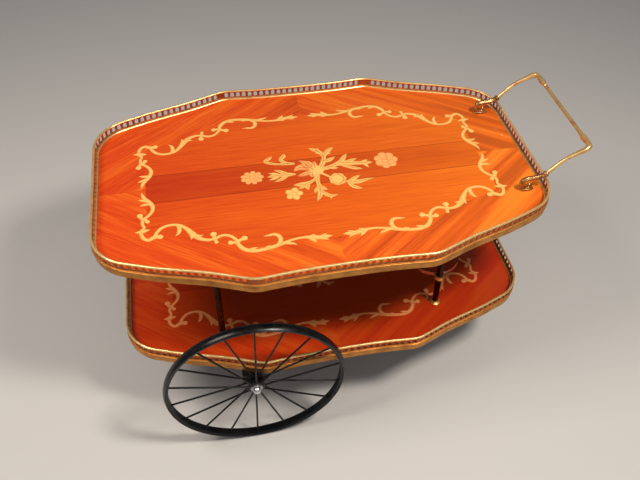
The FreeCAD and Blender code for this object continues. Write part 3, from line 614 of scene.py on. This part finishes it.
def skin(mesh, rings):
    """A closed solid from rings of vertices, all of one length."""
    for here, there in zip(rings, rings[1:]):
        for i in range(len(here)):
            j = (i + 1) % len(here)
            mesh.faces.new((here[i], here[j], there[j], there[i]))
    mesh.faces.new(rings[0])
    mesh.faces.new(rings[-1])


def smooth_line(points, dimensions=2):
    """A smooth curve through the points, sampled about every STROKE_STEP.

    A point's first numbers, as many as there are dimensions, are its place. Those after them, such as a
    width, change smoothly along the curve.
    """
    ends = [[2 * a - b for a, b in zip(points[0], points[1])]] + [list(p) for p in points]
    ends.append([2 * a - b for a, b in zip(points[-1], points[-2])])
    line = []
    for before, here, there, after in zip(ends, ends[1:], ends[2:], ends[3:]):
        count = max(3, int(math.dist(here[:dimensions], there[:dimensions]) / STROKE_STEP))
        for step in range(count):
            t = step / count
            line.append([
                0.5 * (2 * p1 + (p2 - p0) * t + (2 * p0 - 5 * p1 + 4 * p2 - p3) * t * t
                       + (3 * p1 - p0 - 3 * p2 + p3) * t ** 3)
                for p0, p1, p2, p3 in zip(before, here, there, after)
            ])
    line.append(list(points[-1]))
    return line


class Marquetry:
    """Flat pieces of wood let into a deck. Each is a thin closed solid that stands just proud of it."""

    def __init__(self, name, tier, material):
        self.name, self.tier, self.material = name, tier, material
        self.mesh = bmesh.new()
        self.shade = self.mesh.verts.layers.float.new("shade")
        self.layer = 0

    def vert(self, x, y, height, shade):
        scale = tray_scale[self.tier] * MM
        made = self.mesh.verts.new((tray_x + x * scale, y * scale, deck_z[self.tier] + height * MM))
        made[self.shade] = shade
        return made

    def next_top(self):
        self.layer += 1
        return INLAY_RISE + self.layer * LAYER_STEP

    def stroke(self, points, flip=(1, 1), swell=1.0):
        """A tapering band along a curve, pale down the middle and scorched along its edges."""
        top = self.next_top()
        rings = []
        line = smooth_line(points)
        for i, (x, y, width) in enumerate(line):
            before, after = line[max(i - 1, 0)], line[min(i + 1, len(line) - 1)]
            dx, dy = after[0] - before[0], after[1] - before[1]
            reach = max(width * swell, LEAST_WIDTH) / 2.0 / (math.hypot(dx, dy) or 1.0)
            left = (x - dy * reach, y + dx * reach)
            right = (x + dy * reach, y - dx * reach)
            outline = [(left, top, 1.0), ((x, y), top, 0.0), (right, top, 0.6),
                       (right, -INLAY_DEPTH, 1.0), (left, -INLAY_DEPTH, 1.0)]
            rings.append([self.vert(px * flip[0], py * flip[1], height, shade)
                          for (px, py), height, shade in outline])
        skin(self.mesh, rings)

    def disc(self, centre, radii, sides, flip=(1, 1), lobes=0, cut=0.0, turn=0.0, shades=(0.6, 0.0)):
        """A round or lobed piece, scorched at its rim by the first shade and paler inside by the second."""
        top = self.next_top()
        rings = [[], [], []]
        for i in range(sides):
            angle = 2.0 * math.pi * i / sides
            swell = 1.0 - cut * abs(math.sin(lobes * angle / 2.0 + turn)) ** 4
            x = math.cos(angle) * radii[0] * swell
            y = math.sin(angle) * radii[1] * swell
            levels = ((BALL_MIDDLE, top, shades[1]), (1.0, top, shades[0]), (1.0, -INLAY_DEPTH, 1.0))
            for ring, (share, height, shade) in zip(rings, levels):
                place = ((centre[0] + x * share) * flip[0], (centre[1] + y * share) * flip[1])
                ring.append(self.vert(*place, height, shade))
        skin(self.mesh, rings)

    def blossom(self, centre, radii, rings):
        """A flower of overlapping petals, ring by ring, every other ring turned by half a petal."""
        for number, (count, out, length, width) in enumerate(rings):
            for i in range(count):
                angle = 2.0 * math.pi * (i + 0.5 * (number % 2)) / count
                place = (centre[0] + math.cos(angle) * radii[0] * out,
                         centre[1] + math.sin(angle) * radii[1] * out)
                self.petal(place, (radii[0] * length, radii[1] * width), angle)

    def petal(self, centre, radii, angle):
        """A rounded petal that points along angle, pale at its tip and scorched at its rim and root."""
        top = self.next_top()
        rings = [[], [], []]
        for i in range(PETAL_SIDES):
            turn = 2.0 * math.pi * i / PETAL_SIDES
            long, wide = math.cos(turn) * radii[0], math.sin(turn) * radii[1]
            scorch = 1.0 - 0.3 * math.cos(turn)
            levels = ((PETAL_MIDDLE, top, 0.05), (1.0, top, scorch), (1.0, -INLAY_DEPTH, 1.0))
            for ring, (share, height, shade) in zip(rings, levels):
                x = centre[0] + (long * math.cos(angle) - wide * math.sin(angle)) * share
                y = centre[1] + (long * math.sin(angle) + wide * math.cos(angle)) * share
                ring.append(self.vert(x, y, height, shade))
        skin(self.mesh, rings)

    def finish(self):
        bmesh.ops.recalc_face_normals(self.mesh, faces=self.mesh.faces)
        piece_from(self.mesh, self.name, self.material, "root")


def piece_from(mesh, name, material, body):
    """Turns a bmesh into a piece that rides on a body."""
    data = bpy.data.meshes.new(name)
    mesh.to_mesh(data)
    mesh.free()
    data.materials.append(material)
    made = bpy.data.objects.new(name, data)
    bpy.context.scene.collection.objects.link(made)
    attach(made, body)
    return made


def veins_of(strokes):
    """A hairline down the middle of each leaf that is wide enough to show one."""
    lines = []
    for points in strokes:
        if max(width for _, _, width in points) >= VEINED_WIDTH:
            inside = [(x, y, VEIN_WIDTH) for x, y, _ in points[1:-1]]
            lines.append([(*points[0][:2], 0)] + inside + [(*points[-1][:2], 0)])
    return lines


def border_inlay(tier):
    pale = Marquetry(tier + "_inlay_border", tier, inlay_pale[tier])
    for flip in ((1, 1), (-1, 1), (-1, -1), (1, -1)):
        pale.layer = 0
        for points in BORDER_STROKES:
            pale.stroke(points, flip, BORDER_SWELL)
        for x, y, radius in BORDER_BALLS:
            pale.disc((x, y), (radius, radius), BALL_SIDES, flip)
    pale.finish()


def bouquet_inlay(tier):
    petals = Marquetry(tier + "_inlay_flowers", tier, inlay_flower)
    for points in PETAL_STROKES:
        petals.stroke(points, swell=BOUQUET_SWELL)
    for blossom in BLOSSOMS:
        petals.blossom(*blossom)
    petals.finish()
    leaves = Marquetry(tier + "_inlay_leaves", tier, inlay_pale[tier])
    leaves.layer = LEAVES_LAYER
    for points in BOUQUET_STROKES:
        leaves.stroke(points, swell=BOUQUET_SWELL)
    leaves.disc(sides=KNOT_SIDES, **KNOT)
    leaves.layer = SMALL_FLOWERS_LAYER
    leaves.blossom(*STAR_FLOWER)
    leaves.blossom(*BUD)
    leaves.finish()
    veins = Marquetry(tier + "_inlay_veins", tier, inlay_vein)
    veins.layer = VEINS_LAYER
    for points in veins_of(BOUQUET_STROKES) + veins_of(PETAL_STROKES):
        veins.stroke(points)
    veins.finish()


# --- cast handle -----------------------------------------------------------------------------
# Millimetres from the tray's middle and from the upper deck. Each bracket stands HANDLE_Y from the middle
# line, and the bail leaves its boss there towards BAIL_BEND, both as (x, z).
HANDLE_Y = 122.0
BOSS_PLACE = (391.5, 30.0)
BAIL_BEND = (424.0, 63.0)
BOSS_SLOPE = math.atan2(BAIL_BEND[1] - BOSS_PLACE[1], BAIL_BEND[0] - BOSS_PLACE[0])
GRIP_X, GRIP_Z = 469.0, 82.0
ROD_RADIUS = 3.6
# One end of the bail, from the boss up to its corner: (x, y, z, radius, depth of its flutes).
BAIL_END = [
    (BOSS_PLACE[0], -HANDLE_Y, BOSS_PLACE[1], ROD_RADIUS, 0), (406, -HANDLE_Y, 44.5, ROD_RADIUS, 0),
    (417, -HANDLE_Y, 55, ROD_RADIUS, 0), (428, -HANDLE_Y, 63.5, 3.7, 0), (441, -HANDLE_Y, 69.8, 4.0, 0.04),
    (452, -HANDLE_Y, 74.6, 4.9, 0.12), (460, -121.5, 78.2, 5.6, 0.12), (466.8, -118.6, 81.2, 5.6, 0.06),
]
# The grip from the corner to its middle: (y, radius, depth of its flutes).
GRIP_TURNING = [
    (-112, 4.7, 0.04), (-104, 5.3, 0.14), (-93, 6.2, 0.16), (-86, 5.0, 0.1), (-81, 3.7, 0), (-77, 4.3, 0),
    (-73, ROD_RADIUS, 0), (-36, ROD_RADIUS, 0),
]
BAIL_HALF = BAIL_END + [(GRIP_X, y, GRIP_Z, radius, fluting) for y, radius, fluting in GRIP_TURNING]
# A bracket's bar, from the boss over the gallery and down round the scroll to its tail: (x, z, radius,
# depth of its flutes).
BRACKET_BAR = [
    (395, 33, 4.6, 0.06), (384, 28, 4.4, 0.14), (372, 26, 4.6, 0.18), (360, 25, 4.8, 0.18),
    (352.8, 22, 4.6, 0.16), (350, 15, 4.2, 0.14), (352.8, 8.2, 3.8, 0.12), (359, 5, 3.6, 0.1),
    (366, 5.4, 3.2, 0.08), (369.5, 9, 2.8, 0.06), (367, 12.6, 2.4, 0), (363.6, 11.4, 2.8, 0),
]
# The turned boss that holds the bail's end: (distance along the bail, radius).
BOSS_TURNING = [
    (-5, 4.6), (-4, 6.0), (-2.2, 6.2), (-1.2, 5.0), (0.5, 4.9), (2.5, 6.0), (4.4, 6.2), (5.6, 4.8), (7, 4.2),
]
# The bracket's foot, an oval dome: its middle, its radii and height, and its outline as (share, rise).
FOOT_X = 362.5
FOOT_RADII = (13.5, 5.0)
FOOT_HEIGHT = 4.5
DOME_PROFILE = ((1.0, 0.0), (1.0, 0.35), (0.93, 0.7), (0.78, 0.92), (0.5, 1.0))
CAST_SIDES = 24
CAST_FLUTES = 6


class Casting:
    """Rounded metal made of bars that change radius along their length."""

    def __init__(self):
        self.mesh = bmesh.new()

    def vert(self, place):
        x, y, z = place
        return self.mesh.verts.new((tray_x + x * MM, y * MM, deck_z["upper"] + z * MM))

    def bar(self, path):
        """A fluted round bar through points of (x, y, z, radius, depth of its flutes)."""
        line = smooth_line(path, dimensions=3)
        places = [Vector(row[:3]) for row in line]
        side = None
        rings = []
        for i, (_, _, _, radius, fluting) in enumerate(line):
            along = (places[min(i + 1, len(places) - 1)] - places[max(i - 1, 0)]).normalized()
            side = side or along.orthogonal()
            side = (side - along * side.dot(along)).normalized()
            across = along.cross(side)
            ring = []
            for step in range(CAST_SIDES):
                angle = 2.0 * math.pi * step / CAST_SIDES
                reach = radius * (1.0 - fluting * (0.5 - 0.5 * math.cos(CAST_FLUTES * angle)))
                outward = side * math.cos(angle) + across * math.sin(angle)
                ring.append(self.vert(places[i] + outward * reach))
            rings.append(ring)
        skin(self.mesh, rings)

    def dome(self, x, y, radii, height):
        """A low oval dome that lies on the deck."""
        rings = []
        sides = CAST_SIDES * 2
        for share, rise in DOME_PROFILE:
            long, wide = radii[0] - radii[1] * (1.0 - share), radii[1] * share
            angles = [2.0 * math.pi * step / sides for step in range(sides)]
            rings.append([self.vert((x + math.cos(angle) * long, y + math.sin(angle) * wide, height * rise))
                          for angle in angles])
        skin(self.mesh, rings)

    def finish(self, name, node, material):
        bmesh.ops.recalc_face_normals(self.mesh, faces=self.mesh.faces)
        for face in self.mesh.faces:
            face.smooth = True
        made = piece_from(self.mesh, name, materials[material], "root")
        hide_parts(node)


def cast_handle():
    bail = Casting()
    bail.bar(BAIL_HALF + [(x, -y, z, radius, fluting) for x, y, z, radius, fluting in reversed(BAIL_HALF)])
    bail.finish("cast_bail", "handle_bail", "rubbed_brass")
    for side, sign in SIDES.items():
        y = sign * HANDLE_Y
        bracket = Casting()
        bracket.bar([(x, y, z, radius, fluting) for x, z, radius, fluting in BRACKET_BAR])
        bracket.bar([(BOSS_PLACE[0] + reach * math.cos(BOSS_SLOPE), y,
                      BOSS_PLACE[1] + reach * math.sin(BOSS_SLOPE), radius, 0.0)
                     for reach, radius in BOSS_TURNING])
        bracket.dome(FOOT_X, y, FOOT_RADII, FOOT_HEIGHT)
        bracket.finish("cast_bracket_" + side, "handle_bracket_" + side, "cast_brass")


# --- stage -----------------------------------------------------------------------------------
FLOOR_HALF_SIZE = 6.0
FLOOR_TONE = srgb(214, 210, 205)
SKY_COLOUR = (0.92, 0.94, 1.0, 1.0)
SKY_STRENGTH = 0.16
# Area lights: place, what it points at, size, power in watts, colour.
LIGHTS = {
    "key": ((0.62, -0.74, 1.80), (0.02, 0, 0.42), (0.3, 0.3), 22.5, (1.0, 0.94, 0.86)),
    "fill": ((-1.15, -0.25, 1.70), (-0.1, 0, 0.3), (0.7, 0.7), 17.0, (1.0, 0.92, 0.84)),
    "front": ((-0.3, -2.1, 1.5), (-0.05, 0, 0.25), (2.6, 1.2), 5.5, (1.0, 0.95, 0.90)),
}
# Camera angles in radians, lens and sensor in millimetres, shifts as shares of the picture's width, and
# its place about the middle of the upper deck.
CAMERA_YAW, CAMERA_PITCH, CAMERA_ROLL = 0.2588, 0.7744, -0.0500
CAMERA_LENS = 40.63
CAMERA_SENSOR = 36.0
CAMERA_SHIFT = (-0.0482, -0.0136)
CAMERA_PLACE = (-0.2012, -1.0161, 0.8574)
CAMERA_NEAR = 0.05


def floor():
    mesh = bmesh.new()
    corners = [(-1, -1), (1, -1), (1, 1), (-1, 1)]
    mesh.faces.new([mesh.verts.new((x * FLOOR_HALF_SIZE, y * FLOOR_HALF_SIZE, 0.0)) for x, y in corners])
    data = bpy.data.meshes.new("floor")
    mesh.to_mesh(data)
    mesh.free()
    s = Surface("pale_floor")
    s.set(Base_Color=FLOOR_TONE, Roughness=0.85)
    data.materials.append(s.material)
    made = bpy.data.objects.new("floor", data)
    bpy.context.scene.collection.objects.link(made)


def area_light(name, place, target, size, power, colour):
    data = bpy.data.lights.new(name, "AREA")
    data.shape = "RECTANGLE"
    data.size, data.size_y = size
    data.energy = power
    data.color = colour
    made = bpy.data.objects.new(name, data)
    bpy.context.scene.collection.objects.link(made)
    made.location = place
    made.rotation_euler = (Vector(target) - Vector(place)).to_track_quat("-Z", "Y").to_euler()


def lights():
    world = bpy.data.worlds.new("studio")
    world.use_nodes = True
    background = world.node_tree.nodes["Background"]
    background.inputs["Color"].default_value = SKY_COLOUR
    background.inputs["Strength"].default_value = SKY_STRENGTH
    bpy.context.scene.world = world
    for name, look in LIGHTS.items():
        area_light(name, *look)


def camera():
    """A standing viewer at the cart's front left, looking down at about 44 degrees."""
    yaw, pitch, roll = CAMERA_YAW, CAMERA_PITCH, CAMERA_ROLL
    forward = Vector((math.sin(yaw) * math.cos(pitch), math.cos(yaw) * math.cos(pitch), -math.sin(pitch)))
    level = Vector((math.cos(yaw), -math.sin(yaw), 0.0))
    down = forward.cross(level)
    right = level * math.cos(roll) + down * math.sin(roll)
    below = down * math.cos(roll) - level * math.sin(roll)
    data = bpy.data.cameras.new("camera")
    data.sensor_width = CAMERA_SENSOR
    data.lens = CAMERA_LENS
    data.shift_x, data.shift_y = CAMERA_SHIFT
    data.clip_start = CAMERA_NEAR
    made = bpy.data.objects.new("camera", data)
    bpy.context.scene.collection.objects.link(made)
    place = Vector((tray_x, 0.0, deck_z["upper"])) + Vector(CAMERA_PLACE)
    axes = Matrix((right, -below, -forward)).transposed()
    made.matrix_world = Matrix.Translation(place) @ axes.to_4x4()
    bpy.context.scene.camera = made


dress_frame()
for tier in deck_z:
    border_inlay(tier)
    bouquet_inlay(tier)
cast_handle()
floor()
lights()
camera()
bpy.context.scene.view_settings.view_transform = "Standard"
